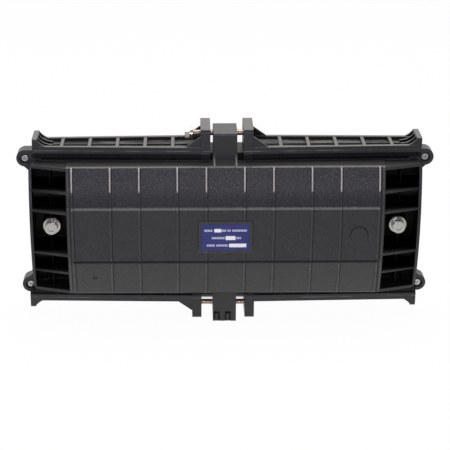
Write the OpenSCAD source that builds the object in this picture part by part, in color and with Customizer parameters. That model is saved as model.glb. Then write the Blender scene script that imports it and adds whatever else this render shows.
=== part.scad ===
// In-line splice closure for fibre cable: two moulded half shells on a
// long gasket, held by four tapered rails that are drawn together in
// pairs by one bolt above and one below, and by a bolt at each end.
// Millimetres. X runs along the closure, Y across the joint plane with
// the front at -Y, Z is up. The closure stands on its lower lugs.

/* [Half shells] */
// Length of the crowned body
body_length = 308; // [240:2:400]
// Half height of the body at its side walls
body_half = 67; // [60:0.5:75]
// Depth of the crown at the middle, from the joint plane
crown_depth = 42.6; // [40:0.1:50]
// Depth of the crown at its long shoulders
shoulder_depth = 32; // [30:0.1:34]
// Rounding of the long shoulders
shoulder_round = 3; // [1:0.5:5]
// Wall of the shells
wall = 3.5; // [2:0.1:4]
// Half height of the raised middle panel
panel_half = 27; // [22:0.5:30]
// Face of the middle panel above the crown
panel_rise = 0.5; // [0.3:0.1:1]
// Width of the thin outer ribs
rib_width = 1.7; // [1:0.1:3]
// Height of the thin outer ribs over the panel
rib_rise = 0.6; // [0.4:0.1:1]
// Height of the thick rib ends near the shoulders
rib_crest = 1.2; // [0.8:0.1:1.4]
// Height on the crown where the thick rib ends begin
rib_crest_start = 43.5; // [35:0.5:55]

/* [Ends] */
// Length of each end bay beyond the body
bay_length = 37; // [34:0.5:50]
// Half height of the end bays
bay_half = 65.8; // [58:0.1:66]
// Drop of the bay's edge from the body to its outer wall
bay_drop = 11.5; // [8:0.5:14]
// Thickness of the rim walls of a bay
rim_wall = 3; // [2:0.1:4]
// Thickness of the stiffening ribs in a bay
bay_rib = 2.4; // [1.5:0.1:3]
// Floor of a bay
bay_floor = 4; // [3:0.5:6]
// Height of the cable ports above and below the middle
port_offset = 32; // [29:0.5:36]
// Bore of a cable port
port_radius = 12; // [10:0.1:12.5]
// Wall round a cable port
port_wall = 4; // [3:0.5:5]
// Radius of the cable that the rubber bushes take
cable_radius = 8; // [5:0.1:9]

/* [Ears] */
// Distance of the ear screws from the middle, along the closure
ear_reach = 195.6; // [190:0.2:205]
// Height of the ear screws above and below the middle
ear_height = 67.4; // [62:0.1:68]
// Radius of an ear
ear_radius = 8.4; // [7:0.1:8.6]
// Thickness of an ear on each shell
ear_thickness = 7; // [5:0.5:9]
// Thread radius of the ear screws
ear_screw_radius = 1.75; // [1.5:0.05:2]
// Head radius of the ear screws
ear_head_radius = 3.15; // [2.8:0.05:3.5]

/* [Flange and rails] */
// Outer edge of the tapered flange, from the middle
flange_edge = 75.6; // [75.6:0.1:75.6]
// Outer end of the flange
flange_reach = 181; // [176:0.5:181]
// Half thickness of the flange at its outer end
flange_thin = 11; // [9:0.1:12]
// Half thickness of the flange beside the centre block
flange_thick = 15.8; // [14:0.1:16]
// Clearance between a rail and the flange when drawn fully home
rail_fit = 0.12; // [0.1:0.01:0.3]
// Length of a rail
rail_length = 172.8; // [165:0.2:173]
// Half depth of a rail at its outer end
rail_thin = 15; // [14.5:0.1:16]
// Half depth of a rail at its lug
rail_thick = 20; // [19.5:0.1:21]
// Lower edge of a rail's side skirts
skirt_edge = 70; // [69:0.1:72]
// Lower edge of the proud band along a rail
band_edge = 75; // [73:0.1:77]
// Upper edge of a rail
rail_edge = 82; // [80:0.1:84]
// Depth of the skirt below the proud band
skirt_recess = 1.8; // [1:0.1:2]
// Thickness of a rail's web
web = 1.8; // [1.2:0.1:2.5]
// Distance between the cross ribs of a rail
rib_pitch = 27; // [24:0.5:30]
// Distance of the first cross rib from the outer end
first_rib = 28.3; // [24:0.1:30]
// Number of cross ribs in a rail
rib_count = 5; // [3:1:5]
// Thickness of the end tab of a rail
tab_thickness = 5; // [4:0.1:7]
// Height of the end tab, from the middle of the closure
tab_top = 89.7; // [86:0.1:92]
// Thickness of the clamp lug of a rail
lug_thickness = 9.4; // [9.4:0.1:11]
// Height of the clamp lugs, from the middle of the closure
lug_top = 100.5; // [99:0.1:104]
// Outer end of the upper left rail as set
rail_upper_left = 187.2; // [186:0.1:195]
// Outer end of the upper right rail as set
rail_upper_right = 190.5; // [186:0.1:195]
// Outer end of the lower left rail as set
rail_lower_left = 195.8; // [186:0.1:196]
// Outer end of the lower right rail as set
rail_lower_right = 193.4; // [186:0.1:196]

/* [Centre blocks] */
// Half width of the centre blocks
block_half = 11.6; // [10.5:0.1:11.8]
// Depth of the upper block from the joint plane
upper_block_depth = 17; // [16:0.5:20]
// Top of the upper block
upper_block_top = 95.4; // [95:0.1:98]
// Depth of the lower block from the joint plane
lower_block_depth = 26; // [20:0.5:28]
// Height of the interlocking fingers below the lower bolt
finger_height = 10.8; // [9:0.1:10.8]
// Width of a finger slot
slot_width = 6.1; // [5:0.1:6.4]
// Side clearance of a finger in its slot
slot_fit = 0.9; // [0.3:0.1:1]

/* [Clamp bolts] */
// Height of the clamp bolts above and below the middle
clamp_height = 91; // [90.5:0.1:91]
// Thread radius of a clamp bolt
clamp_radius = 3; // [2.5:0.1:3.2]
// Length of a clamp bolt under its head
clamp_length = 65; // [65:0.5:75]
// Width across flats of a clamp bolt's head and nut
clamp_flats = 10; // [9:0.5:10.5]
// Thickness of a clamp bolt's head
clamp_head = 4.6; // [4:0.1:5]
// Thickness of a clamp nut
clamp_nut_height = 5; // [4:0.1:5.2]
// Distance that the upper bolt's washers stand off their lug
clamp_slack = 7.6; // [2:0.1:8]
// Radius of the hole that a clamp bolt passes
clamp_hole = 3.4; // [3.3:0.1:3.8]

/* [End bolts] */
// Distance of the end bolts from the middle
end_bolt_reach = 171; // [168:0.2:173]
// Thread radius of an end bolt
end_bolt_radius = 4; // [3:0.1:4.5]
// Head radius of an end bolt
end_head_radius = 6.5; // [6:0.1:7.5]
// Head height of an end bolt
end_head_height = 7.5; // [5:0.1:8]
// Radius of an end washer
end_washer_radius = 8.5; // [8:0.1:9]
// Height of the bosses under the end washers
end_boss_height = 15.3; // [14:0.1:16]
// Radius of those bosses
end_boss_radius = 9.5; // [9:0.1:10.5]
// Width across flats of an end nut
end_nut_flats = 13; // [12:0.5:14]
// Height of an end nut
end_nut_height = 6.5; // [5:0.1:7]
// Thickness of a washer
washer_thickness = 1.6; // [1:0.1:2]
// Radial clearance between a thread and its nut
thread_fit = 0.05; // [0.02:0.01:0.1]

/* [Seals] */
// Width of the gasket
gasket_width = 4; // [3:0.1:5]
// Thickness of the gasket, half in each shell
gasket_thickness = 3; // [2:0.1:4]
// Side clearance of the gasket in its groove
gasket_fit = 0.2; // [0.1:0.05:0.3]
// Clearance round a port bush
bush_fit = 0.15; // [0.1:0.01:0.3]

/* [Label] */
// Width of the label plate
label_width = 47; // [40:0.5:52]
// Height of the label plate
label_height = 27.6; // [22:0.1:32]
// Thickness of the label plate
label_thickness = 0.4; // [0.3:0.1:0.5]
// Width of the raised frame round the label
label_frame = 2.6; // [1.5:0.1:4]
// Clearance between the label and its frame
label_fit = 0.2; // [0.1:0.05:0.3]
// Height of the label's middle, from the middle of the closure
label_height_offset = -2; // [-5:0.1:0]

/* [Splice trays] */
// Length of a splice tray
tray_length = 212; // [180:2:220]
// Width of a splice tray
tray_width = 86; // [70:1:92]
// Depth of a splice tray
tray_depth = 9.5; // [8:0.5:11]
// Wall and floor of a splice tray
tray_wall = 1.8; // [1.2:0.1:2.5]
// Corner radius of a splice tray
tray_corner = 16; // [8:1:25]
// Thickness of the tray cover
cover_thickness = 1.5; // [1:0.1:2.5]
// Distance of the tray studs from the middle
stud_reach = 97; // [90:0.5:98]
// Thread radius of a tray stud
stud_radius = 2; // [1.5:0.1:2.5]
// Length of the carrier plate
plate_length = 272; // [260:1:280]
// Width of the carrier plate
plate_width = 96; // [80:1:100]
// Thickness of the carrier plate
plate_thickness = 2; // [1.5:0.1:3]
// Depth of the carrier plate's front face behind the joint plane
plate_depth = 13; // [12:0.1:15]
// Distance of the carrier posts from the middle, along the closure
post_reach = 122; // [118:0.5:126]
// Height of the carrier posts above and below the middle
post_height = 24; // [16:0.5:24]
// Radius of a carrier post
post_radius = 5; // [4:0.1:6]
// Thread radius of the carrier screws
post_screw_radius = 2; // [1.5:0.1:2.2]
// Width of a cable clamp band
clamp_band = 6; // [5:0.5:8]
// Thickness of a cable clamp band
clamp_band_thickness = 1; // [0.8:0.1:1.5]

/* [Hidden] */

$fn = 48;
overlap = 0.2;
body_end = body_length / 2;
bay_end = body_end + bay_length;
// Crown circle through the shoulders and the top of the crown.
crown_rise = crown_depth - shoulder_depth;
crown_radius = (crown_rise * crown_rise + body_half * body_half) / (2 * crown_rise);
crown_centre = crown_depth - crown_radius;
function crown_at(z) = crown_centre + sqrt(crown_radius * crown_radius - z * z);
panel_depth = crown_depth + panel_rise;
// Thin ribs in mirrored pairs; those near the middle frame the label.
rib_places = [18.5, 46.5, 83.5, 111.5, body_end - 5.5];
rim_half = bay_half - rim_wall;
bay_rib_heights = [22, 42];
port_outer = port_radius + port_wall;

// Flange taper and the rails that ride on it.
block_edge = 14;
taper = (flange_thick - flange_thin) / (flange_reach - block_edge);
home_gap = 0.4;
home_end = block_half + home_gap + rail_length;
function flange_at(x) = flange_thin + (flange_reach - x) * taper;
function rail_inner(x) = flange_at(home_end - x) + rail_fit;
function rail_outer(x) = rail_thin + (rail_thick - rail_thin) * x / rail_length;
web_floor = flange_edge + 0.8;
web_top = web_floor + web;
lug_start = rail_length - lug_thickness;
lug_round = 4;
base = lug_top;

gasket_inner_z = body_half;
gasket_inner_x = body_end + 3;
end_washer_seat = end_boss_height;
end_nut_seat = end_boss_height + washer_thickness;
clamp_washer_radius = 5.8;
spring_washer_thickness = 1.5;
// Outer faces of the left lugs, and the stack of washers under the heads.
lug_face_upper = lug_start - rail_upper_left;
lug_face_lower = lug_start - rail_lower_left;
head_upper = lug_face_upper - clamp_slack;
spring_seat = head_upper - washer_thickness;
head_seat_upper = spring_seat - spring_washer_thickness;
head_seat_lower = lug_face_lower - washer_thickness;
pocket_depth = clamp_nut_height + 0.2;
pocket_flats = clamp_flats + 0.4;
slot_starts = [-10.9, 0.3];
tray_back = plate_depth;
tray_front = plate_depth - tray_depth;
stack_front = plate_depth - 2 * tray_depth;
cover_front = stack_front - cover_thickness;

// ---- Shared shapes -------------------------------------------------

module raised() {
    translate([0, 0, base]) children();
}

// Extrudes a (Y, Z) outline along X.
module along_x(x0, x1) {
    translate([x0, 0, 0]) rotate([90, 0, 90]) linear_extrude(x1 - x0) children();
}

// Extrudes an (X, Z) outline along Y.
module along_y(y0, y1) {
    translate([0, y1, 0]) rotate([90, 0, 0]) linear_extrude(y1 - y0) children();
}

// Extrudes an (X, Y) outline along Z.
module along_z(z0, z1) {
    translate([0, 0, z0]) linear_extrude(z1 - z0) children();
}

module rod_x(x0, x1, r) {
    translate([x0, 0, 0]) rotate([0, 90, 0]) cylinder(h = x1 - x0, r = r);
}

module rod_y(y0, y1, r) {
    translate([0, y0, 0]) rotate([-90, 0, 0]) cylinder(h = y1 - y0, r = r);
}

module hex_x(x0, x1, flats) {
    translate([x0, 0, 0]) rotate([0, 90, 0])
        cylinder(h = x1 - x0, r = flats / sqrt(3), $fn = 6);
}

module hex_y(y0, y1, flats) {
    translate([0, y0, 0]) rotate([-90, 0, 0])
        cylinder(h = y1 - y0, r = flats / sqrt(3), $fn = 6);
}

module box(low, high) {
    translate(low) cube(high - low);
}

module both(v) {
    children();
    mirror(v) children();
}

// Rectangle about the origin with round corners.
module round_rect(w, h, r) {
    square([w, h - 2 * r], center = true);
    square([w - 2 * r, h], center = true);
    for (x = [-1, 1], y = [-1, 1])
        translate([x * (w / 2 - r), y * (h / 2 - r)]) circle(r);
}

// ---- Half shells: +Y is outwards from the joint plane --------------

// Body section with its shoulders rounded, moved inwards by inset.
module crown_outline(inset, round) {
    r = crown_radius - inset;
    half = body_half - inset;
    turn = crown_centre + sqrt(pow(r - round, 2) - pow(half - round, 2));
    tangent = (half - round) * r / (r - round);
    intersection() {
        translate([crown_centre, 0]) circle(r, $fn = 180);
        translate([0, -tangent]) square([crown_depth, 2 * tangent]);
    }
    translate([0, -half]) square([turn, 2 * half]);
    for (s = [-1, 1]) translate([turn, s * (half - round)]) circle(round);
}

// Band of the crown between two heights, standing proud by rise.
module crown_band(rise, low, high) {
    intersection() {
        translate([crown_centre, 0]) circle(crown_radius + rise, $fn = 180);
        translate([shoulder_depth - wall / 2, low]) square([crown_depth, high - low]);
    }
}

module outer_ribs() {
    for (x = rib_places) both([1, 0, 0]) {
        along_x(x - rib_width / 2, x + rib_width / 2) {
            crown_band(rib_rise, -body_half + shoulder_round, body_half - shoulder_round);
            for (s = [0, 1]) mirror([0, s])
                crown_band(rib_crest, rib_crest_start, body_half - shoulder_round);
        }
        along_x(x - rib_width / 2, x + rib_width / 2)
            translate([shoulder_depth, -panel_half])
                square([panel_depth + rib_rise - shoulder_depth, 2 * panel_half]);
    }
}

// Long tapered flange, thickest in the middle.
module flange() {
    both([0, 0, 1])
        along_z(body_half - wall - 0.5, flange_edge)
            polygon([[-flange_reach, 0], [-flange_reach, flange_thin],
                [-block_edge, flange_thick], [block_edge, flange_thick],
                [flange_reach, flange_thin], [flange_reach, 0]]);
}

module ear() {
    translate([ear_reach, 0, ear_height]) rod_y(0, ear_thickness, ear_radius);
    box([flange_reach - 2, 0, ear_height - 2], [ear_reach, ear_thickness, ear_height + ear_radius]);
    along_y(0, ear_thickness)
        polygon([[flange_reach - 2, rim_half - 6], [bay_end - 1, rim_half - 10],
            [ear_reach + ear_radius - 0.4, ear_height - 2], [ear_reach, ear_height],
            [flange_reach - 2, ear_height]]);
}

// Open bay beyond the body: rim, stiffening ribs, two half round cable
// ports and the boss of the end bolt.
module bay() {
    intersection() {
        union() {
            box([body_end - wall, 0, -bay_half], [bay_end, bay_floor, bay_half]);
            along_x(bay_end - rim_wall, bay_end) intersection() {
                translate([-bay_drop, 0]) crown_outline(0, shoulder_round);
                translate([0, -bay_half]) square([crown_depth, 2 * bay_half]);
            }
            for (s = [-1, 1]) {
                bay_wall(s * (bay_half - rim_wall / 2), rim_wall, crown_at(bay_half) + 0.6);
                for (z = bay_rib_heights)
                    bay_wall(s * z, bay_rib, crown_at(z) - 0.5);
                translate([0, 0, s * port_offset]) rod_x(body_end - wall, bay_end, port_outer);
            }
            box([end_bolt_reach - bay_rib / 3, 0, -rim_half],
                [end_bolt_reach + bay_rib / 3, end_boss_height + 4, rim_half]);
            translate([end_bolt_reach, 0, 0]) rod_y(0, end_boss_height, end_boss_radius);
        }
        along_y(0, crown_depth)
            translate([bay_end / 2, 0]) round_rect(bay_end, 2 * bay_half, 5);
    }
}

// Wall of a bay along X whose edge falls towards the outer end.
module bay_wall(z, thickness, height) {
    along_z(z - thickness / 2, z + thickness / 2)
        polygon([[body_end - wall, 0], [body_end - wall, height], [body_end, height],
            [bay_end, height - bay_drop], [bay_end, 0]]);
}

// Half shell without what only the front or the back has.
module half_shell() {
    difference() {
        union() {
            along_x(-body_end, body_end) crown_outline(0, shoulder_round);
            both([1, 0, 0]) bay();
            box([-rib_places[4] - 0.6, shoulder_depth, -panel_half],
                [rib_places[4] + 0.6, panel_depth, panel_half]);
            outer_ribs();
            flange();
            both([1, 0, 0]) both([0, 0, 1]) ear();
            upper_block();
        }
        along_x(wall - body_end, body_end - wall) translate([-overlap, 0])
            crown_outline(wall, shoulder_round);
        both([1, 0, 0]) both([0, 0, 1]) {
            translate([0, 0, port_offset])
                rod_x(body_end - wall - 1, bay_end + 1, port_radius);
            translate([ear_reach, 0, ear_height]) ear_hole();
        }
        for (s = [-1, 1]) {
            translate([s * end_bolt_reach, 0, 0])
                rod_y(-1, crown_depth, end_bolt_radius + 0.4);
            translate([s * end_bolt_reach, 0, 0])
                rod_y(end_boss_height, crown_depth, end_washer_radius + 0.6);
            translate([0, 0, s * clamp_height])
                rod_x(-block_half - 1, block_half + 1, clamp_hole);
        }
        gasket_ring(gasket_fit, -1, gasket_thickness / 2);
        // Nothing crosses the joint plane.
        box([-ear_reach - 20, -lower_block_depth, -lug_top - 1],
            [ear_reach + 20, 0, lug_top + 1]);
    }
}

module ear_hole() {
    rod_y(-1, ear_thickness + 1, ear_screw_radius);
    hex_y(ear_thickness - 3, ear_thickness + 1, 2 * ear_head_radius + 3.4);
}

// Ring of the gasket in the joint plane, wider by fit on every side.
module gasket_ring(fit, y0, y1) {
    difference() {
        along_y(y0, y1) round_rect(2 * (gasket_inner_x + gasket_width + fit),
            2 * (gasket_inner_z + gasket_width + fit), 6);
        along_y(y0 - 1, y1 + 1) round_rect(2 * (gasket_inner_x - fit),
            2 * (gasket_inner_z - fit), 3);
    }
}

// Block above the body that the upper bolt passes, with two gussets.
module upper_block() {
    along_z(body_half - wall, upper_block_top - 2)
        translate([-block_half, 0]) square([2 * block_half, upper_block_depth]);
    along_x(-block_half, block_half)
        translate([0, upper_block_top - 4]) {
            square([upper_block_depth - 2, 4]);
            square([upper_block_depth, 2]);
            translate([upper_block_depth - 2, 2]) circle(2);
        }
    for (s = [-1, 1])
        translate([s * (block_half - 1), 0, 0]) along_x(-1, 1)
            polygon([[0, body_half - wall], [shoulder_depth - 1, body_half - wall],
                [shoulder_depth - 1, body_half], [upper_block_depth, body_half + 7],
                [0, body_half + 7]]);
}

// Block below the body, carried down to the foot.
module lower_block(depth) {
    difference() {
        box([-block_half, 0, -lug_top], [block_half, depth, wall - body_half]);
        translate([0, 0, -clamp_height]) rod_x(-block_half - 1, block_half + 1, clamp_hole);
        // Nothing of the block stands in the body's own cavity.
        along_x(-block_half - 1, block_half + 1) crown_outline(wall, shoulder_round);
        gasket_ring(gasket_fit, -1, gasket_thickness / 2);
    }
}

module finger_slots(low, high, fit) {
    for (x = slot_starts)
        box([x + fit, low, -lug_top - (fit > 0 ? 0 : 1)],
            [x + slot_width - fit, high, -lug_top + finger_height - fit]);
}

module front_shell() {
    color([0.13, 0.13, 0.135]) raised() mirror([0, 1, 0]) difference() {
        union() {
            half_shell();
            difference() {
                lower_block(lower_block_depth);
                finger_slots(-1, lower_block_depth + 1, 0);
            }
            // Raised frame round the label, and a moulded disc.
            translate([0, 0, label_height_offset]) difference() {
                along_y(shoulder_depth, panel_depth + rib_rise)
                    round_rect(label_width + 2 * label_frame,
                        label_height + 2 * label_frame, 3);
                along_y(panel_depth, crown_depth + 2)
                    round_rect(label_width + 2 * label_fit,
                        label_height + 2 * label_fit, 1.5);
            }
            translate([130, 0, 0]) rod_y(shoulder_depth, panel_depth + rib_rise, 8.1);
        }
        // The ribs stop at the label.
        translate([0, 0, label_height_offset]) along_y(panel_depth, crown_depth + 2)
            round_rect(label_width + 2 * label_fit, label_height + 2 * label_fit, 1.5);
        translate([-128, 0, -46.6]) rod_y(crown_at(46.6) - 1.6, crown_depth, 2.4);
    }
}

module back_shell() {
    color([0.12, 0.12, 0.125]) raised() {
        half_shell();
        lower_block(upper_block_depth);
        // Fingers that reach forward into the slots of the front block.
        difference() {
            finger_slots(-lower_block_depth + 4, 1, slot_fit);
            translate([0, 0, -clamp_height])
                rod_x(-block_half - 1, block_half + 1, clamp_hole + 0.3);
        }
        // Posts for the carrier plate.
        difference() {
            for (x = [-1, 1], z = [-1, 1])
                translate([x * post_reach, 0, z * post_height])
                    rod_y(plate_depth + plate_thickness, crown_depth - wall / 2, post_radius);
            carrier_screw_holes(post_screw_radius);
        }
    }
}

// ---- Rails ---------------------------------------------------------

// Side wall of a rail between two heights, its outside set in by recess.
module rail_side(low, high, recess) {
    both([0, 1, 0]) along_z(low, high)
        polygon([[0, rail_inner(0)], [0, rail_outer(0) - recess],
            [rail_length, rail_outer(rail_length) - recess],
            [rail_length, rail_inner(rail_length)]]);
}

// Rail from its outer end at x = 0 to its lug, open towards -Z. The
// front gusset of the lug is left out where gussets is 1.
module rail(gussets, pocket) {
    difference() {
        union() {
            rail_side(band_edge, rail_edge, 0);
            rail_side(skirt_edge, band_edge, skirt_recess);
            rail_web();
            for (i = [0 : rib_count - 1]) rail_rib(first_rib + i * rib_pitch);
            rail_rib_ends(tab_thickness / 2);
            rail_tab();
            rail_lug();
            for (s = gussets) lug_gusset(s);
        }
        translate([0, 0, clamp_height]) rod_x(lug_start - 1, rail_length + 1, clamp_hole);
        if (pocket)
            translate([0, 0, clamp_height])
                hex_x(lug_start - 1, lug_start + pocket_depth, pocket_flats);
    }
}

module rail_web() {
    along_z(web_floor, web_top)
        polygon([[0, -rail_inner(0) - 1], [0, rail_inner(0) + 1],
            [rail_length, rail_inner(rail_length) + 1],
            [rail_length, -rail_inner(rail_length) - 1]]);
    box([1, -1.1, web_floor], [rail_length - 1, 1.1, web_top + 1.6]);
}

module rail_rib(x) {
    y = rail_inner(x) + 1;
    box([x - 1.6, -y, web_floor], [x + 1.6, y, rail_edge - 0.3]);
    rail_rib_ends(x);
}

// Rib ends that show below the proud band.
module rail_rib_ends(x) {
    both([0, 1, 0])
        box([x - 1.1, rail_inner(x), skirt_edge], [x + 1.1, rail_outer(x) - 0.4, band_edge + 1]);
}

module rail_tab() {
    half = rail_thin;
    intersection() {
        along_x(0, tab_thickness) translate([0, (tab_top + web_floor - 8) / 2])
            round_rect(2 * half, tab_top - web_floor + 8, 3);
        box([0, -half, web_floor], [tab_thickness, half, tab_top]);
    }
    reach = 14;
    fall = tab_top - 1.5 - rail_edge + 1;
    sweep = (reach * reach + fall * fall) / (2 * fall);
    for (y = [-1, -0.36, 0.36, 1])
        along_y(y * (half - 1.4) - 0.9, y * (half - 1.4) + 0.9)
            difference() {
                translate([tab_thickness - 1, web_floor]) square([reach + 1, tab_top - 1.5 - web_floor]);
                translate([tab_thickness + reach, rail_edge - 1 + sweep]) circle(sweep);
            }
}

module rail_lug() {
    inner = rail_inner(lug_start);
    difference() {
        along_x(lug_start, rail_length)
            translate([0, (lug_top + skirt_edge - 10) / 2])
                round_rect(2 * rail_thick, lug_top - skirt_edge + 10, lug_round);
        box([lug_start - 1, -rail_thick - 1, skirt_edge - 12],
            [rail_length + 1, rail_thick + 1, skirt_edge]);
        box([lug_start - 1, -rail_inner(rail_length), skirt_edge - 1],
            [rail_length + 1, rail_inner(rail_length), web_floor]);
    }
}

// Triangular gusset of the lug, in front at -1 and behind at 1.
module lug_gusset(side) {
    y = side * (rail_thick - 3);
    along_y(y - 1.1, y + 1.1)
        polygon([[lug_start - 16, rail_edge - 1], [lug_start + 1, rail_edge - 1],
            [lug_start + 1, clamp_height + 1.5], [lug_start, clamp_height + 1.5]]);
}

module rail_colour() {
    color([0.15, 0.15, 0.155]) raised() children();
}

module rail_upper_left() {
    rail_colour() translate([-rail_upper_left, 0, 0]) rail([-1, 1], false);
}

module rail_upper_right() {
    rail_colour() mirror([1, 0, 0]) translate([-rail_upper_right, 0, 0]) rail([-1, 1], true);
}

module rail_lower_left() {
    rail_colour() mirror([0, 0, 1]) translate([-rail_lower_left, 0, 0]) rail([-1, 1], false);
}

module rail_lower_right() {
    rail_colour() mirror([0, 0, 1]) mirror([1, 0, 0])
        translate([-rail_lower_right, 0, 0]) rail([1], true);
}

// ---- Clamp bolts ---------------------------------------------------

module clamp_bolt(seat) {
    color([0.62, 0.58, 0.52]) raised() {
        hex_x(seat - clamp_head, seat, clamp_flats);
        rod_x(seat - 1, seat + clamp_length, clamp_radius);
    }
}

module clamp_bolt_upper() {
    translate([0, 0, clamp_height]) clamp_bolt(head_seat_upper);
}

module clamp_bolt_lower() {
    translate([0, 0, -clamp_height]) clamp_bolt(head_seat_lower);
}

module clamp_nut(face) {
    color([0.7, 0.66, 0.58]) raised() difference() {
        hex_x(face - clamp_nut_height, face, clamp_flats);
        rod_x(face - clamp_nut_height - 1, face + 1, clamp_radius + thread_fit);
    }
}

module clamp_nut_upper() {
    translate([0, 0, clamp_height])
        clamp_nut(rail_upper_right - rail_length + lug_thickness - 0.2);
}

module clamp_nut_lower() {
    translate([0, 0, -clamp_height])
        clamp_nut(rail_lower_right - rail_length + lug_thickness - 0.2);
}

module ring_x(x0, x1, outer, inner) {
    difference() {
        rod_x(x0, x1, outer);
        rod_x(x0 - 1, x1 + 1, inner);
    }
}

module clamp_washer_upper() {
    color([0.75, 0.72, 0.65]) raised() translate([0, 0, clamp_height])
        ring_x(spring_seat, head_upper, clamp_washer_radius, clamp_radius + 0.2);
}

module spring_washer_upper() {
    color([0.6, 0.57, 0.5]) raised() translate([0, 0, clamp_height])
        ring_x(head_seat_upper, spring_seat, clamp_washer_radius - 1, clamp_radius + 0.2);
}

module clamp_washer_lower() {
    color([0.75, 0.72, 0.65]) raised() translate([0, 0, -clamp_height])
        ring_x(head_seat_lower, lug_face_lower, clamp_washer_radius, clamp_radius + 0.2);
}

// ---- End bolts and ear screws ---------------------------------------

module ring_y(y0, y1, outer, inner) {
    difference() {
        rod_y(y0, y1, outer);
        rod_y(y0 - 1, y1 + 1, inner);
    }
}

module end_bolt(side) {
    seat = -end_washer_seat - washer_thickness;
    color([0.78, 0.77, 0.74]) raised() translate([side * end_bolt_reach, 0, 0]) difference() {
        union() {
            rod_y(seat - end_head_height + 0.6, seat, end_head_radius);
            rod_y(seat - end_head_height, seat - 1, end_head_radius - 0.6);
            rod_y(seat - 1, end_nut_seat + end_nut_height + 2, end_bolt_radius);
        }
        hex_y(seat - end_head_height - 1, seat - end_head_height + 4, 6);
    }
}

module end_nut(side) {
    color([0.72, 0.71, 0.68]) raised() translate([side * end_bolt_reach, 0, 0]) difference() {
        hex_y(end_nut_seat, end_nut_seat + end_nut_height, end_nut_flats);
        rod_y(end_nut_seat - 1, end_nut_seat + end_nut_height + 1, end_bolt_radius + thread_fit);
    }
}

module end_washer(side, y0) {
    color([0.85, 0.84, 0.8]) raised() translate([side * end_bolt_reach, 0, 0])
        ring_y(y0, y0 + washer_thickness, end_washer_radius, end_bolt_radius + 0.3);
}

module ear_screws() {
    top = ear_thickness - 3;
    color([0.6, 0.58, 0.54]) raised()
        for (x = [-1, 1], z = [-1, 1]) translate([x * ear_reach, 0, z * ear_height]) {
            difference() {
                rod_y(-top - 2.2, -top, ear_head_radius);
                for (turn = [0, 90]) rotate([0, turn, 0])
                    box([-1.9, -top - 3, -0.4], [1.9, -top - 1, 0.4]);
            }
            rod_y(-top - 0.5, ear_thickness - 3.5, ear_screw_radius - 0.05);
        }
}

// ---- Seals and label ------------------------------------------------

module gasket() {
    color([0.08, 0.08, 0.08]) raised() difference() {
        gasket_ring(0, -gasket_thickness / 2, gasket_thickness / 2);
        for (s = [-1, 1]) translate([0, 0, s * port_offset])
            rod_x(-bay_end, bay_end, port_radius);
    }
}

module port_bush(side, s) {
    x0 = body_end - 1;
    x1 = bay_end - 2;
    color([0.1, 0.1, 0.1]) raised() translate([0, 0, s * port_offset])
        mirror([side < 0 ? 1 : 0, 0, 0]) difference() {
            rod_x(x0, x1, port_radius - bush_fit);
            rod_x(x0 - 1, x1 + 1, cable_radius);
        }
}

module label_plate() {
    color([0.15, 0.17, 0.42]) raised() translate([0, 0, label_height_offset])
        along_y(-panel_depth - label_thickness, -panel_depth)
            round_rect(label_width, label_height, 1.3);
}

// ---- Splice trays and cable fixings inside --------------------------

module carrier_screw_holes(r) {
    for (x = [-1, 1], z = [-1, 1]) translate([x * post_reach, 0, z * post_height])
        rod_y(plate_depth - 1, plate_depth + plate_thickness + 12, r);
}

// Steel plate on the posts, with a saddle at each cable's end.
module carrier_plate() {
    saddle = plate_depth - cable_radius - clamp_band_thickness;
    color([0.6, 0.6, 0.58]) raised() difference() {
        union() {
            along_y(plate_depth, plate_depth + plate_thickness)
                round_rect(plate_length, plate_width, 8);
            for (x = [-1, 1], z = [-1, 1])
                translate([x * (plate_length / 2 - clamp_band / 2 - 1), plate_depth - saddle, z * port_offset])
                    box([-clamp_band / 2, 0.2, -4], [clamp_band / 2, saddle + 0.5, 4]);
        }
        carrier_screw_holes(post_screw_radius + 0.2);
        for (x = [-1, 1]) translate([x * stud_reach, 0, 0])
            rod_y(plate_depth - 1, plate_depth + plate_thickness + 1, stud_radius + 0.1);
    }
}

module carrier_screws() {
    color([0.75, 0.74, 0.7]) raised()
        for (x = [-1, 1], z = [-1, 1]) translate([x * post_reach, 0, z * post_height]) {
            rod_y(plate_depth - 2, plate_depth, 3.5);
            rod_y(plate_depth - 1, plate_depth + plate_thickness + 11, post_screw_radius - 0.05);
        }
}

// Dish with a floor towards the back and two fibre spools.
module splice_tray(back) {
    front = back - tray_depth;
    color([0.86, 0.87, 0.86]) raised() difference() {
        union() {
            difference() {
                along_y(front, back) round_rect(tray_length, tray_width, tray_corner);
                along_y(front - 1, back - tray_wall)
                    round_rect(tray_length - 2 * tray_wall, tray_width - 2 * tray_wall,
                        tray_corner - tray_wall);
            }
            for (x = [-1, 1]) {
                translate([x * stud_reach, 0, 0]) rod_y(front, back, 5);
                translate([x * tray_length / 4, 0, 0])
                    ring_y(front + 1, back - tray_wall / 2, 20, 20 - tray_wall);
            }
        }
        for (x = [-1, 1]) translate([x * stud_reach, 0, 0])
            rod_y(front - 1, back + 1, stud_radius + 0.2);
    }
}

// Comb of rubber ridges that grips the splice sleeves.
module splice_comb(back) {
    floor_y = back - tray_wall;
    color([0.2, 0.2, 0.2]) raised() {
        box([-15, floor_y - 1.5, -30], [15, floor_y, 30]);
        for (i = [0 : 12]) translate([0, 0, -30 + i * 4.9])
            box([-15, floor_y - 5.5, 0], [15, floor_y - 1.4, 1.2]);
    }
}

module tray_cover() {
    color([0.8, 0.82, 0.82]) raised() difference() {
        along_y(cover_front, stack_front)
            round_rect(tray_length, tray_width, tray_corner);
        for (x = [-1, 1]) translate([x * stud_reach, 0, 0])
            rod_y(cover_front - 1, stack_front + 1, stud_radius + 0.2);
    }
}

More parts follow.
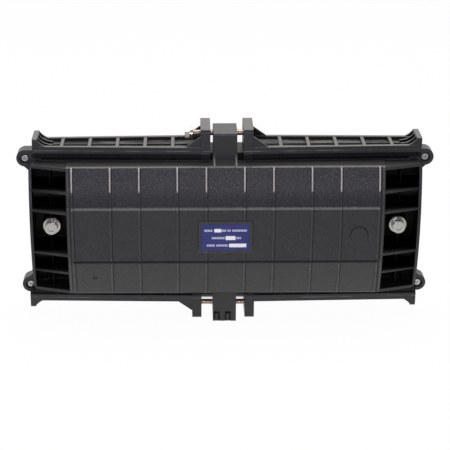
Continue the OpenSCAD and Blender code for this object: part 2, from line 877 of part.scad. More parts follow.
module tray_studs() {
    color([0.7, 0.7, 0.68]) raised() for (x = [-1, 1]) translate([x * stud_reach, 0, 0]) {
        rod_y(cover_front - 7, plate_depth + plate_thickness + 3, stud_radius);
        hex_y(plate_depth + plate_thickness, plate_depth + plate_thickness + 2.4, 7);
    }
}

module tray_wing_nuts() {
    color([0.72, 0.7, 0.66]) raised() for (x = [-1, 1]) translate([x * stud_reach, 0, 0])
        difference() {
            union() {
                rod_y(cover_front - 4.5, cover_front, 4.2);
                along_x(-0.8, 0.8) translate([cover_front - 6, 0])
                    round_rect(7, 18, 2.5);
            }
            rod_y(cover_front - 12, cover_front + 1, stud_radius + thread_fit);
        }
}

// Worm-drive band round the cable, resting on the carrier's saddle.
module cable_clamp(side, s) {
    x = plate_length / 2 - clamp_band / 2 - 1;
    outer = cable_radius + clamp_band_thickness;
    color([0.7, 0.7, 0.7]) raised() translate([side * x, 0, s * port_offset]) {
        ring_x(-clamp_band / 2, clamp_band / 2, outer, cable_radius + 0.1);
        translate([0, -outer - 2.2, 0]) {
            box([-clamp_band / 2 - 0.5, 0.2, -5], [clamp_band / 2 + 0.5, 2.6, 5]);
            translate([0, -1.6, -7]) cylinder(h = 14, r = 2.2);
        }
    }
}

// Posts with a cross screw for the strength member of each cable.
module core_anchors() {
    color([0.68, 0.68, 0.66]) raised()
        for (x = [-1, 1], z = [-1, 1])
            translate([x * (tray_length / 2 + 8), 0, z * port_offset]) difference() {
                union() {
                    rod_y(1.5, plate_depth, 4);
                    rod_y(-3.5, 1.6, 3);
                }
                rod_x(-5, 5, 1.4);
            }
}

front_shell();
back_shell();
gasket();
label_plate();
rail_upper_left();
rail_upper_right();
rail_lower_left();
rail_lower_right();
clamp_bolt_upper();
clamp_bolt_lower();
clamp_nut_upper();
clamp_nut_lower();
clamp_washer_upper();
clamp_washer_lower();
spring_washer_upper();
end_bolt(-1);  // end_bolt_left
end_bolt(1);  // end_bolt_right
end_nut(-1);  // end_nut_left
end_nut(1);  // end_nut_right
end_washer(-1, -end_washer_seat - washer_thickness);  // end_washer_front_left
end_washer(1, -end_washer_seat - washer_thickness);  // end_washer_front_right
end_washer(-1, end_washer_seat);  // end_washer_back_left
end_washer(1, end_washer_seat);  // end_washer_back_right
ear_screws();
port_bush(-1, 1);  // port_bush_upper_left
port_bush(1, 1);  // port_bush_upper_right
port_bush(-1, -1);  // port_bush_lower_left
port_bush(1, -1);  // port_bush_lower_right
carrier_plate();
carrier_screws();
tray_studs();
tray_wing_nuts();
splice_tray(tray_back);  // splice_tray_rear
splice_tray(tray_front);  // splice_tray_front
splice_comb(tray_back);  // splice_comb_rear
splice_comb(tray_front);  // splice_comb_front
tray_cover();
cable_clamp(-1, 1);  // cable_clamp_upper_left
cable_clamp(1, 1);  // cable_clamp_upper_right
cable_clamp(-1, -1);  // cable_clamp_lower_left
cable_clamp(1, -1);  // cable_clamp_lower_right
core_anchors();
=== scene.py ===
import math
import bpy
import numpy as np
from mathutils import Matrix, Vector


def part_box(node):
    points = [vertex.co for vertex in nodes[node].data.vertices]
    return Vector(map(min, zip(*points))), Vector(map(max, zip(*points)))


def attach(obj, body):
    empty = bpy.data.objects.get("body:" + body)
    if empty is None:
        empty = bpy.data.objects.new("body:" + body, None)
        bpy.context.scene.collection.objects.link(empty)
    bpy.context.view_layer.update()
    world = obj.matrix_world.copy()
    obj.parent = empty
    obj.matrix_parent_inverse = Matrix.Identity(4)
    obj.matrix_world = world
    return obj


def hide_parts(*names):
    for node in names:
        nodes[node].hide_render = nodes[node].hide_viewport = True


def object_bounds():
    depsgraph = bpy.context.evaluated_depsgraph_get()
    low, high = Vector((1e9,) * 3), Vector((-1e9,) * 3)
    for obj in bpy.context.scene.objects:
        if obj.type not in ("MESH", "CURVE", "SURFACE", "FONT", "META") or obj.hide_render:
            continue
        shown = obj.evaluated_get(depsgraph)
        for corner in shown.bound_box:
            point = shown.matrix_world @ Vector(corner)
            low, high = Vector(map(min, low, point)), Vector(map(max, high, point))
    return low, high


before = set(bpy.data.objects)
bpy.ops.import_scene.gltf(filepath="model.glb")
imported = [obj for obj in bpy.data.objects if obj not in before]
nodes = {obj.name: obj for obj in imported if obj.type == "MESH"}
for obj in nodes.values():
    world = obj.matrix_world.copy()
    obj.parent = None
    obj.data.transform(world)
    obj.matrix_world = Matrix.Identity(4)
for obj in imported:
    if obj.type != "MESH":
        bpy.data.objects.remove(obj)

cad_low, cad_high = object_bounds()

# ---- Camera ----------------------------------------------------------
# A long lens looks down a little on the front of the closure, from a
# little left of its middle, with the frame shifted back onto it.
middle = Vector((0.0, 0.0, (cad_low[2] + cad_high[2]) / 2))
camera_fall = math.radians(22.0)
camera_distance = 1.395
camera_left = 0.0383
camera_roll = math.radians(-0.25)
looking = Vector((0.0, math.cos(camera_fall), -math.sin(camera_fall)))
camera_data = bpy.data.cameras.new("camera")
camera_data.sensor_width = 36.0
camera_data.lens = 111.6
camera_data.shift_x = 0.0867
camera_data.shift_y = -0.0133
camera = bpy.data.objects.new("camera", camera_data)
bpy.context.scene.collection.objects.link(camera)
camera.location = middle - looking * camera_distance - Vector((camera_left, 0, 0))
camera.rotation_euler = (looking.to_track_quat("-Z", "Y").to_matrix()
                         @ Matrix.Rotation(camera_roll, 3, "Z")).to_euler()
bpy.context.scene.camera = camera
bpy.context.scene.view_settings.view_transform = "Standard"


# ---- Shader maths ----------------------------------------------------
# Every finish below is worked out from the object's own coordinates, in
# metres, with the arithmetic written as it reads.
class Wire:
    """One output socket. Arithmetic on it adds the Math nodes that it stands for."""

    def __init__(self, socket):
        self.socket = socket

    def node(self, kind, settings=None, inputs=None, out=0):
        """Adds a node: its settings first, then the values or wires of its inputs."""
        tree = self.socket.id_data
        made = tree.nodes.new("ShaderNode" + kind)
        for key, value in (settings or {}).items():
            setattr(made, key, value)
        for key, value in (inputs or {}).items():
            if isinstance(value, Wire):
                tree.links.new(value.socket, made.inputs[key])
            else:
                made.inputs[key].default_value = value
        return Wire(made.outputs[out])

    def math(self, operation, *others):
        """One Math node on this and the others."""
        inputs = {0: self}
        inputs.update({i + 1: other for i, other in enumerate(others)})
        return self.node("Math", {"operation": operation}, inputs)

    def __add__(self, other):
        return self.math("ADD", other)

    def __sub__(self, other):
        return self.math("SUBTRACT", other)

    def __rsub__(self, other):
        return (self * -1.0) + other

    def __mul__(self, other):
        return self.math("MULTIPLY", other)

    def __truediv__(self, other):
        return self.math("DIVIDE", other)

    __radd__ = __add__
    __rmul__ = __mul__

    def __abs__(self):
        return self.math("ABSOLUTE")

    def most(self, *others):
        """The largest of this and the others."""
        result = self
        for other in others:
            result = result.math("MAXIMUM", other)
        return result

    def above(self, edge, soft):
        """0 below edge, rising to 1 over the width soft."""
        return ((self - (edge - soft / 2)) / soft).most(0.0).math("MINIMUM", 1.0)

    def below(self, edge, soft):
        """1 below edge, falling to 0 over the width soft."""
        return 1.0 - self.above(edge, soft)

    def near(self, place, half, soft):
        """1 within half of place on either side, falling to 0 over the width soft."""
        return abs(self - place).below(half, soft)

    def near_any(self, places, half, soft):
        """1 within half of any of the places, which lie well apart."""
        return sum((self.near(place, half, soft) for place in places), self * 0.0)

    def noise(self, size, detail=3.0, rough=0.5):
        """Noise whose lumps are about size metres across."""
        return self.node("TexNoise", None, {"Vector": self, "Scale": 1.0 / size,
                                            "Detail": detail, "Roughness": rough})

    def xyz(self):
        """The three parts of a vector."""
        return [self.node("SeparateXYZ", None, {0: self}, axis) for axis in "XYZ"]

    def blend(self, first, second):
        """Colour that goes from first to second as this goes from 0 to 1."""
        return self.node("Mix", {"data_type": "RGBA"}, {0: self, 6: first, 7: second}, 2)


class Finish:
    """A material with one Principled shader, and the wires that its pattern starts from."""

    def __init__(self, name):
        self.material = bpy.data.materials.new(name)
        self.material.use_nodes = True
        self.tree = self.material.node_tree
        self.shader = self.tree.nodes["Principled BSDF"]
        coordinates = self.tree.nodes.new("ShaderNodeTexCoord")
        self.place = Wire(coordinates.outputs["Object"])

    def set(self, **values):
        """Sets the shader's inputs by name, with _ for a space."""
        for key, value in values.items():
            socket = self.shader.inputs[key.replace("_", " ")]
            if isinstance(value, Wire):
                self.tree.links.new(value.socket, socket)
            else:
                socket.default_value = value

    def soft_edge(self, radius):
        """Normal rounded over every edge by radius, as a moulded or turned edge is."""
        return self.place.node("Bevel", {"samples": 6}, {"Radius": radius}, "Normal")

    def edge(self, rounded, gain):
        """1 along edges, 0 on flats, from how far the rounded normal leans."""
        flat = self.place.node("NewGeometry", None, None, "Normal")
        lean = flat.node("VectorMath", {"operation": "DOT_PRODUCT"}, {0: flat, 1: rounded}, "Value")
        return ((1.0 - lean) * gain).math("MINIMUM", 1.0)

    def bump(self, height, distance, strength, normal):
        """Normal with a relief of height times distance on top of it."""
        return height.node("Bump", None, {"Strength": strength, "Distance": distance,
                                          "Height": height, "Normal": normal}, "Normal")


def from_axis(first, second):
    """Distance from an axis: the root of first^2 + second^2 across it."""
    return (first * first + second * second).math("SQRT")


def grey(level, warm=0.0):
    """Grey of this level, a little red and less blue by the share warm."""
    return (level * (1 + warm), level, level * (1 - warm), 1.0)


def dress(finish, *names):
    """Gives a CAD part the finish, in every one of its material slots."""
    for name in names:
        mesh = nodes[name].data
        mesh.materials.clear()
        mesh.materials.append(finish.material)


# ---- Floor, backdrop and lamps ---------------------------------------
# White floor that keeps the shadow, a white surround, one large soft lamp
# overhead and a small cool one low in front.
floor_half = 6.0
floor_colour = (0.83, 0.83, 0.83, 1)
floor_share = 0.97
floor_strip_colour = (0.03, 0.03, 0.03, 1)
floor_strip_half = 0.19
floor_strip_near = 0.03
floor_strip_far = 0.062
front_edge = -0.2
front_blur = 0.3
front_dimming = 0.62
studio_level = 0.45
gloss_level = 0.14
gloss_rise = 0.84


def white_where_seen(tree, lit, share):
    """Mixes a lit surface with plain white for rays from the camera, gloss and
    glass, and with a dimmer white for gloss that looks at the floor in front."""
    rays = tree.nodes.new("ShaderNodeLightPath")
    glossy = Wire(rays.outputs["Is Glossy Ray"])
    seen = Wire(rays.outputs["Is Camera Ray"]).most(
        glossy, Wire(rays.outputs["Is Transmission Ray"]))
    white = tree.nodes.new("ShaderNodeEmission")
    white.inputs["Color"].default_value = (1, 1, 1, 1)
    place = Wire(tree.nodes.new("ShaderNodeTexCoord").outputs["Object"])
    dim = glossy * place.xyz()[1].below(front_edge, front_blur) * front_dimming
    tree.links.new((1.0 - dim).socket, white.inputs["Strength"])
    mixed = tree.nodes.new("ShaderNodeMixShader")
    tree.links.new((share * seen).socket, mixed.inputs[0])
    tree.links.new(lit, mixed.inputs[1])
    tree.links.new(white.outputs[0], mixed.inputs[2])
    return mixed.outputs[0]


floor_mesh = bpy.data.meshes.new("floor")
floor_mesh.from_pydata([(-floor_half, -floor_half, 0), (floor_half, -floor_half, 0),
                        (floor_half, floor_half, 0), (-floor_half, floor_half, 0)],
                       [], [(0, 1, 2, 3)])
floor = bpy.data.objects.new("floor", floor_mesh)
bpy.context.scene.collection.objects.link(floor)
floor_finish = Finish("floor_white")
# A dark strip is painted on the floor behind the foot. It stands in for the
# shade in the gaps beside the foot, and it shows from behind and above.
floor_x, floor_y, _ = floor_finish.place.xyz()
floor_strip = (abs(floor_x).below(floor_strip_half, 0.02) * floor_y.above(floor_strip_near, 0.005)
               * floor_y.below(floor_strip_far, 0.006))
floor_finish.set(Base_Color=floor_strip.blend(floor_colour, floor_strip_colour), Roughness=0.9)
floor_tree = floor_finish.tree
floor_tree.links.new(white_where_seen(floor_tree, floor_finish.shader.outputs[0],
                                      (1.0 - floor_strip) * floor_share),
                     floor_tree.nodes["Material Output"].inputs["Surface"])
floor_mesh.materials.append(floor_finish.material)

world = bpy.data.worlds.new("studio")
bpy.context.scene.world = world
world.use_nodes = True
world_tree = world.node_tree
rays = world_tree.nodes.new("ShaderNodeLightPath")
seen = Wire(rays.outputs["Is Camera Ray"]).most(Wire(rays.outputs["Is Transmission Ray"]))
glossy = Wire(rays.outputs["Is Glossy Ray"])
direction = Wire(world_tree.nodes.new("ShaderNodeTexCoord").outputs["Generated"])
# In gloss, the studio in front is darker than the white sweep behind.
surround = direction.xyz()[1].above(-0.15, 0.9) * gloss_rise + gloss_level
level = glossy * surround + (1.0 - glossy) * studio_level
level = seen.most(level * (1.0 - seen))
world_tree.links.new(level.socket, world_tree.nodes["Background"].inputs["Strength"])
world_tree.nodes["Background"].inputs["Color"].default_value = (1, 1, 1, 1)


def lamp(name, size, power, colour, place, aim):
    """A rectangular lamp of this size and power at place, turned towards aim."""
    data = bpy.data.lights.new(name, "AREA")
    data.shape = "RECTANGLE"
    data.size, data.size_y = size
    data.energy = power
    data.color = colour
    made = bpy.data.objects.new(name, data)
    bpy.context.scene.collection.objects.link(made)
    made.location = place
    made.rotation_euler = (Vector(aim) - Vector(place)).to_track_quat("-Z", "Y").to_euler()


lamp("overhead", (1.6, 1.0), 21.0, (1, 0.99, 0.97), (0.0, 0.25, 1.5), (0, 0, 0.1))
lamp("front_low", (0.22, 0.07), 4.6, (0.8, 0.76, 1.0), (-0.03, -1.5, 0.25), (-0.02, 0, 0.14))
lamp("front_high", (0.5, 0.05), 0.5, (0.72, 0.68, 1.0), (0.05, -1.2, 0.92), (0.0, 0, 0.15))


# ---- Half shells ------------------------------------------------------
# Black polypropylene mouldings, grained on the crown and smooth in the
# bays and on the flange, with the soft edges that a mould leaves.
centre_z = middle.z
crown_end = 0.1535
crown_foot = 0.0318
bay_start = 0.1548
bay_end = 0.1882
bay_half = 0.0628
bay_depth = 0.031
flange_start = 0.0676
flange_end = 0.1795
flange_half = 0.0166
block_half = 0.0122
panel_half = 0.027
panel_end = 0.149
panel_step = 0.0014
rib_places = (0.0185, 0.0465, 0.0835, 0.1115, 0.1485)
rib_half = 0.0007
crest_start = 0.0435
disc_x = 0.13
disc_radius = 0.0085
gate_x = -0.128
gate_z = -0.0466
gate_radius = 0.0122
frame_width = 0.0261
frame_rise = 0.0164
frame_drop = 0.002

shell_finish = Finish("black_plastic")
x, y, z = shell_finish.place.xyz()
across = abs(x)
height = z - centre_z
depth = abs(y)
on_crown = across.below(crown_end, 0.001) * depth.above(crown_foot, 0.001)
fine = shell_finish.place.noise(0.0009, 2.0, 0.6)
coarse = shell_finish.place.noise(0.0021, 2.0, 0.7)
broad = shell_finish.place.noise(0.045, 3.0, 0.6)
glitter = shell_finish.place.noise(0.0009, 1.0, 0.5)
rounded = shell_finish.soft_edge(0.0011)
# The colour is lighter along every edge: edge wear and a painted edge highlight.
edge_wear_and_highlight = shell_finish.edge(rounded, 2.4)
up = shell_finish.place.node("NewGeometry", None, None, "Normal").xyz()[2]

# Painted shade: the bays, the flange under the rails and the lower step of the panel are darkened in
# colour as if they lay in shade. The upper step gets painted shade for a little way above it.
in_bay = (across.above(bay_start, 0.001) * across.below(bay_end, 0.001)
          * abs(height).below(bay_half, 0.001) * depth.below(bay_depth, 0.012))
under_rail = (abs(height).above(flange_start, 0.0008) * across.above(block_half, 0.0006)
              * across.below(flange_end, 0.001) * depth.below(flange_half, 0.001))
under_panel = (height.below(-panel_half, 0.0006) * height.above(-panel_half - 0.0034, 0.0026)
               * on_crown * across.below(panel_end, 0.001))
over_panel = (height.above(panel_half + panel_step, 0.0008) * height.below(0.041, 0.012)
              * on_crown)

# A painted shadow line follows one side of every rib, the disc, the gate mark and the outside of the
# label's frame, on the front shell only.
rib_shadow = x.near_any([side * place + 0.0015 for place in rib_places for side in (-1, 1)],
                    0.00045, 0.0003)
disc_shadow = (from_axis(x - disc_x, height).near(disc_radius, 0.0004, 0.0004)
             * height.above(-0.004, 0.008))
gate_shadow = from_axis(x - gate_x, height - gate_z).near(gate_radius, 0.0003, 0.0004)
outside = (across - frame_width).most(abs(height + frame_drop) - frame_rise)
on_frame = outside.below(0.0, 0.0004)
frame_shadow = outside.near(0.0006, 0.0004, 0.0004) * height.above(-0.012, 0.006)
shadow_lines = (rib_shadow * on_crown * 0.55).most(disc_shadow * 0.8, gate_shadow * 0.25, frame_shadow * 0.5)
shadow_lines = shadow_lines * (y * -1.0).above(0.03, 0.001) * (1.0 - on_frame)
# Painted shadow line beside the strip at each end of the body.
end_shadow = across.near(0.1508, 0.0004, 0.0003) * on_crown
# All the painted shade and painted shadow lines together; they darken the colour and drive Metallic
# below.
shade = in_bay.most(under_rail, under_panel * 0.85, over_panel * 0.35, shadow_lines, end_shadow * 0.6)

# Painted highlights: the colour is made lighter where light catches the upper step of the panel, the
# crests of the ribs, the label's frame, the faces that look up and the strip at each end of the
# body.
crest = across.near_any(rib_places, rib_half, 0.0004)
ledge_highlight = (height.above(panel_half - 0.0008, 0.0006) * height.below(panel_half + panel_step, 0.001)
         * on_crown * across.below(panel_end, 0.001))
crest_highlight = crest * height.above(crest_start, 0.001) * on_crown
end_strip_highlight = across.above(0.1514, 0.0004) * across.below(0.1537, 0.0006) * on_crown
# The grain is real; the bright specks in it are painted glints, only on the crown above the panel,
# where the light falls.
painted_grain_glints = on_crown * height.above(panel_half, 0.004) * glitter.above(0.6, 0.16)
# Painted light: the lower band of the crown is lighter, as if lit from the floor below.
lower_band_light = height.below(-panel_half - 0.003, 0.002) * on_crown

tone = (broad - 0.5) * 0.4 + edge_wear_and_highlight * 0.6 + on_crown * (fine - 0.5) * 1.2
tone = tone + on_crown * (coarse - 0.5) * 0.9 + painted_grain_glints * 0.9
# Painted highlights on the panel step, the rib crests and the end strips.
tone = tone + ledge_highlight * 1.3 + crest_highlight * 3.8 + crest * on_crown * 0.5 + end_strip_highlight * 0.5
# Painted light on the lower band and on the faces that look up.
tone = tone + lower_band_light * 0.5 + up.above(0.8, 0.2) * 0.6
# Painted highlight on the label's frame.
tone = tone + on_frame * depth.above(0.0425, 0.0003) * 0.35
tone = (tone + 0.25).most(0.0) * (1.0 - shade * 0.97)
plain_shell = tone.blend(grey(0.011, 0.01), grey(0.045, 0.02))
shell_finish.set(
    Base_Color=((tone - 1.0) * 0.22).blend(plain_shell, grey(0.5, 0.04)),
    # Metallic on the painted shade takes away its diffuse light, so it reads darker still.
    Metallic=shade,
    Roughness=on_crown * 0.06 + (broad * 0.1 + 0.3),
    Normal=shell_finish.bump((fine + coarse * 1.3) * on_crown + fine * 0.1, 0.0004, 0.7, rounded),
)
dress(shell_finish, "front_shell", "back_shell")

# ---- Rails ------------------------------------------------------------
# Glass-filled black mouldings, smoother than the shells but streaked
# along their length where the melt ran.
skirt_edge = 0.0752
web_low = 0.0778
web_high = 0.0785
rail_edge = 0.0805

rail_finish = Finish("rail_plastic")
height = abs(rail_finish.place.xyz()[2] - centre_z)
streaks = rail_finish.place.node("Mapping", None, {"Vector": rail_finish.place,
                                                   "Scale": (0.12, 1.0, 1.0)})
streak = streaks.noise(0.003, 3.0, 0.6)
pores = rail_finish.place.noise(0.0014, 3.0, 0.7)
rounded = rail_finish.soft_edge(0.0009)
# The colour is lighter along every edge: edge wear and a painted edge highlight.
edge_wear_and_highlight = rail_finish.edge(rounded, 2.6)
up = rail_finish.place.node("NewGeometry", None, None, "Normal").xyz()[2]
# Painted shade: the skirt below the rail's band is darkened and given Metallic, as if it lay in
# shade.
skirt_shade = height.below(skirt_edge, 0.0006)
on_web = height.below(web_high, 0.0004) * height.above(web_low, 0.0004)
# Painted light: the tops that look up are made lighter, with their grain.
lit_top = up.above(0.8, 0.2) * height.above(rail_edge, 0.0005)
tone = (streak - 0.45) * 0.6 + edge_wear_and_highlight * 0.8 + on_web * (streak.above(0.52, 0.1) * 1.5 + pores)
tone = tone + lit_top * (pores * 1.4 + 1.0)
tone = tone.most(0.0) * (1.0 - skirt_shade * 0.9)
plain_rail = tone.blend(grey(0.014, 0.0), grey(0.055, 0.02))
rail_finish.set(
    Base_Color=((tone - 1.0) * 0.2).blend(plain_rail, grey(0.45, 0.03)),
    Metallic=skirt_shade * 0.85,
    Roughness=streak * 0.16 + 0.34,
    Normal=rail_finish.bump(pores * 0.6 + streak * 0.5, 0.0003, 0.5, rounded),
)
dress(rail_finish, "rail_upper_left", "rail_upper_right", "rail_lower_left", "rail_lower_right")

# ---- Rubber -----------------------------------------------------------
# Gasket cord, port bushes and splice combs in black rubber with bloom.
rubber_finish = Finish("seal_rubber")
bloom = rubber_finish.place.noise(0.004, 4.0, 0.6)
rubber_finish.set(
    Base_Color=bloom.blend(grey(0.012), grey(0.03)),
    Roughness=bloom * 0.2 + 0.55,
    Normal=rubber_finish.bump(rubber_finish.place.noise(0.0006), 0.00008, 0.4,
                              rubber_finish.soft_edge(0.0005)),
)
dress(rubber_finish, "gasket", "port_bush_upper_left", "port_bush_upper_right",
      "port_bush_lower_left", "port_bush_lower_right", "splice_comb_rear", "splice_comb_front")


# ---- Steel ------------------------------------------------------------
# Polished stainless at the two ends, warm zinc plate on the clamp bolts,
# plain stainless screws and bands, and dull sheet for the carrier.
def metal(name, colour, roughness, scratch):
    """Metal with fine turned or rolled scratches in its roughness."""
    finish = Finish(name)
    haze = finish.place.noise(scratch, 4.0, 0.65)
    finish.set(
        Base_Color=haze.blend(tuple(c * 0.82 for c in colour) + (1,), colour + (1,)),
        Metallic=1.0,
        Roughness=haze * 0.12 + roughness,
        Normal=finish.bump(haze, 0.00004, 0.3, finish.soft_edge(0.0003)),
    )
    return finish


bright_finish = metal("bright_steel", (0.83, 0.81, 0.76), 0.12, 0.0007)
dress(bright_finish, "end_nut_left", "end_nut_right", "end_washer_front_left",
      "end_washer_front_right", "end_washer_back_left", "end_washer_back_right",
      "end_bolt_left", "end_bolt_right")
clamp_finish = metal("clamp_steel", (0.72, 0.64, 0.54), 0.24, 0.0008)
dress(clamp_finish, "clamp_bolt_upper", "clamp_bolt_lower", "clamp_nut_upper",
      "clamp_nut_lower", "clamp_washer_upper", "clamp_washer_lower", "spring_washer_upper")
screw_finish = metal("screw_steel", (0.6, 0.59, 0.56), 0.26, 0.0006)
dress(screw_finish, "ear_screws", "carrier_screws", "tray_studs", "tray_wing_nuts",
      "cable_clamp_upper_left", "cable_clamp_upper_right", "cable_clamp_lower_left",
      "cable_clamp_lower_right", "core_anchors")
sheet_finish = metal("carrier_steel", (0.55, 0.55, 0.54), 0.32, 0.002)
dress(sheet_finish, "carrier_plate")

# ---- Trays ------------------------------------------------------------
# Off-white moulded trays and their smooth cover.
tray_finish = Finish("tray_plastic")
speck = tray_finish.place.noise(0.002, 3.0, 0.6)
tray_finish.set(
    Base_Color=speck.blend((0.72, 0.73, 0.72, 1), (0.82, 0.83, 0.81, 1)),
    Roughness=speck * 0.2 + 0.35,
    Normal=tray_finish.bump(speck, 0.00005, 0.3, tray_finish.soft_edge(0.0005)),
)
dress(tray_finish, "splice_tray_rear", "splice_tray_front")
cover_finish = Finish("cover_plastic")
ripple = cover_finish.place.noise(0.01, 2.0, 0.5)
cover_finish.set(
    Base_Color=ripple.blend((0.62, 0.67, 0.68, 1), (0.7, 0.75, 0.76, 1)),
    Roughness=ripple * 0.1 + 0.12,
    Normal=cover_finish.bump(ripple, 0.0001, 0.2, cover_finish.soft_edge(0.0005)),
)
dress(cover_finish, "tray_cover")

# ---- Made pieces ------------------------------------------------------
# Each piece is one mesh in metres at the origin, which rides on a body of the frame and takes the
# finish that it is given.
def piece(name, points, faces, finish, body, slot):
    """Makes the mesh with the finish's material, and has it ride on its body. The slot is not used.
    """
    mesh = bpy.data.meshes.new(name)
    mesh.from_pydata([tuple(point) for point in points], [], faces)
    mesh.materials.append(finish.material)
    made = bpy.data.objects.new(name, mesh)
    bpy.context.scene.collection.objects.link(made)
    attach(made, body)
    return made


def turned(centre, along, steps, radii):
    """Points and faces of a closed bar: row i is a ring radii[i, k] from the
    axis, at the angle 2 pi k / n, where the bar is steps[i] from centre."""
    rows, sides = radii.shape
    turn = np.arange(sides) * 2 * np.pi / sides
    along = Vector(along)
    first = Vector((0, 0, 1))
    second = along.cross(first)
    rings = (np.array(centre) + steps[:, None, None] * np.array(along)
             + (radii * np.cos(turn))[..., None] * np.array(first)
             + (radii * np.sin(turn))[..., None] * np.array(second))
    faces = [(i * sides + k, i * sides + (k + 1) % sides,
              (i + 1) * sides + (k + 1) % sides, (i + 1) * sides + k)
             for i in range(rows - 1) for k in range(sides)]
    faces.append(tuple(range(sides))[::-1])
    faces.append(tuple((rows - 1) * sides + k for k in range(sides)))
    return [tuple(point) for point in rings.reshape(-1, 3)], faces


def joined(*parts):
    """Points and faces of several closed forms as one mesh."""
    points, faces = [], []
    for part_points, part_faces in parts:
        faces += [tuple(len(points) + k for k in face) for face in part_faces]
        points += part_points
    return points, faces


def block(low, high):
    """Points and faces of a box."""
    corners = [(a, b, c) for a in (low[0], high[0]) for b in (low[1], high[1])
               for c in (low[2], high[2])]
    return corners, [(0, 1, 3, 2), (4, 6, 7, 5), (0, 4, 5, 1), (2, 3, 7, 6),
                     (0, 2, 6, 4), (1, 5, 7, 3)]


# ---- Clamp bolts ------------------------------------------------------
# Hexagon bolts with a chamfered head, threaded over the whole shank.
def hexagon(flats, sides):
    """Distance from the axis to a hexagon's outline: flats / 2 over the
    cosine of the angle to the nearest flat, with corners at 0, 60 ... degrees."""
    turn = np.arange(sides) * 2 * np.pi / sides
    lean = (turn % (np.pi / 3)) - np.pi / 6
    return flats / 2 / np.cos(lean)


def thread(radius, pitch, length, sides, per_turn=8):
    """Steps and radii of a vee thread: radius less half a pitch at its roots,
    along a helix that climbs one pitch a turn."""
    steps = np.linspace(0, length, int(length / pitch * per_turn) + 1)
    turn = np.arange(sides) / sides
    phase = (steps[:, None] / pitch - turn) % 1.0
    vee = np.abs(2 * phase - 1)
    return steps, radius - 0.5 * pitch * vee


sides = 48
head_height = 0.0046
head_chamfer = 0.0005
chamfer_share = 0.46
inner_share = 0.6
thread_radius = 0.003
thread_pitch = 0.001
shank_lap = 0.0001
shank_short = 0.0006
bolt_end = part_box("rail_upper_right")[0].x + 0.009
for name in ("clamp_bolt_upper", "clamp_bolt_lower"):
    low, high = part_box(name)
    axis_z = (low.z + high.z) / 2
    flats = high.y - low.y
    outline = hexagon(flats, sides)
    end_face = np.minimum(outline, flats * chamfer_share)
    head_steps = np.array([0, head_chamfer, head_height, head_height])
    head_radii = np.stack([end_face, outline, outline, outline * inner_share])
    shank_length = min(high.x, bolt_end) - low.x - head_height - shank_short
    steps, radii = thread(thread_radius, thread_pitch, shank_length, sides)
    shank = turned((low.x + head_height - shank_lap, 0, axis_z), (1, 0, 0), steps, radii)
    cap = turned((low.x, 0, axis_z), (1, 0, 0), head_steps, head_radii)
    bolt = piece(name + "_threaded", *joined(cap, shank), clamp_finish, name, "clamp_steel")
    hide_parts(name)

# ---- Knurled heads of the end bolts -----------------------------------
# Straight knurl round each socket head, with a small chamfer at each end.
ridges = 44
ridge_sides = 4
knurl_root = 0.0064
ridge_rise = 0.0002
knurl_chamfer = 0.0004
knurl_length = 0.0062
knurl_start = 0.0009
for side in ("left", "right"):
    low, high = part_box("end_bolt_" + side)
    ridge = np.abs(2 * ((np.arange(ridges * ridge_sides) / ridge_sides) % 1.0) - 1)
    outer = knurl_root + ridge_rise * ridge
    steps = np.array([0, knurl_chamfer, knurl_length - knurl_chamfer, knurl_length])
    radii = np.stack([outer - knurl_chamfer, outer, outer, outer - knurl_chamfer])
    centre = ((low.x + high.x) / 2, low.y + knurl_start, (low.z + high.z) / 2)
    piece("end_knurl_" + side, *turned(centre, (0, 1, 0), steps, radii),
          bright_finish, "end_bolt_" + side, "bright_steel")

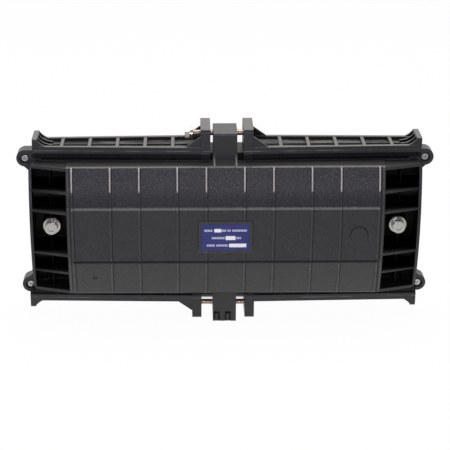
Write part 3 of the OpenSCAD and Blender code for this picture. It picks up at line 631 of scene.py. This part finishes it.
# ---- Windows in the foot ----------------------------------------------
# The foot of the front block is closed by a bar below two windows. A low
# tooth stands in the mouth of each window, and a wall closes it behind.
window_starts = (-0.0109, 0.0003)
window_width = 0.0061
foot_front = -0.026
lap = 0.0002
bar_low = 0.0001
bar_high = 0.0014
tooth_inset = 0.0012
tooth_back = 0.0046
tooth_top = 0.0076
wall_front = 0.006
wall_back = 0.0075
wall_low = 0.001
wall_top = 0.0112
window_parts = []
for start in window_starts:
    end = start + window_width
    window_parts.append(block((start - lap, foot_front + lap, bar_low), (end + lap, -lap, bar_high)))
    window_parts.append(block((start + tooth_inset, foot_front + tooth_inset, tooth_inset),
                              (end - tooth_inset, foot_front + tooth_back, tooth_top)))
    window_parts.append(block((start - lap, foot_front + wall_front, wall_low),
                              (end + lap, foot_front + wall_back, wall_top)))
piece("foot_windows", *joined(*window_parts), shell_finish, "root", "black_plastic")

# ---- Label ------------------------------------------------------------
# Navy film with three blank writing boxes and rows of plain dashes.
label_finish = Finish("label_blue")
cloud = label_finish.place.noise(0.012, 3.0, 0.6)
label_finish.set(Base_Color=cloud.blend((0.014, 0.022, 0.15, 1), (0.026, 0.034, 0.19, 1)),
                 Roughness=cloud * 0.1 + 0.3)
dress(label_finish, "label_plate")
print_finish = Finish("label_print")
print_finish.set(Base_Color=(0.9, 0.9, 0.9, 1), Roughness=0.45)
dash_finish = Finish("label_dashes")
dash_finish.set(Base_Color=(0.5, 0.52, 0.66, 1), Roughness=0.45)

label_low, label_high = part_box("label_plate")
label_z = (label_low.z + label_high.z) / 2
label_face = label_low.y - 0.00002
dash_height = 0.0022
dash_width = 0.0013
dash_gap = 0.0003
# Each row has its height from the label's middle, its runs of dashes from
# left to right, and the left, right and height of its box.
rows = (
    (0.0072, ((-0.0205, -0.0112), (-0.0039, 0.0012), (0.0020, 0.0057), (0.0065, 0.0215)),
     (-0.0109, -0.0041, 0.0036)),
    (-0.0006, ((-0.0133, -0.0002), (0.0105, 0.0157)), (0.0002, 0.0097, 0.0042)),
    (-0.0084, ((-0.0182, -0.0101), (-0.0088, 0.0031)), (0.0035, 0.0203, 0.0038)),
)


def patch(left, right, rise, tall):
    """Points and faces of an upright rectangle on the label's face."""
    low, high = label_z + rise - tall / 2, label_z + rise + tall / 2
    return ([(left, label_face, low), (right, label_face, low),
             (right, label_face, high), (left, label_face, high)], [(0, 1, 2, 3)])


dashes, boxes = [], []
for rise, words, (box_left, box_right, box_tall) in rows:
    boxes.append(patch(box_left, box_right, rise, box_tall))
    for start, end in words:
        count = int((end - start) / (dash_width + dash_gap))
        for i in range(count):
            left = start + i * (dash_width + dash_gap)
            dashes.append(patch(left, left + dash_width, rise, dash_height))
piece("label_boxes", *joined(*boxes), print_finish, "root", "label_blue")
piece("label_dashes", *joined(*dashes), dash_finish, "root", "label_blue")
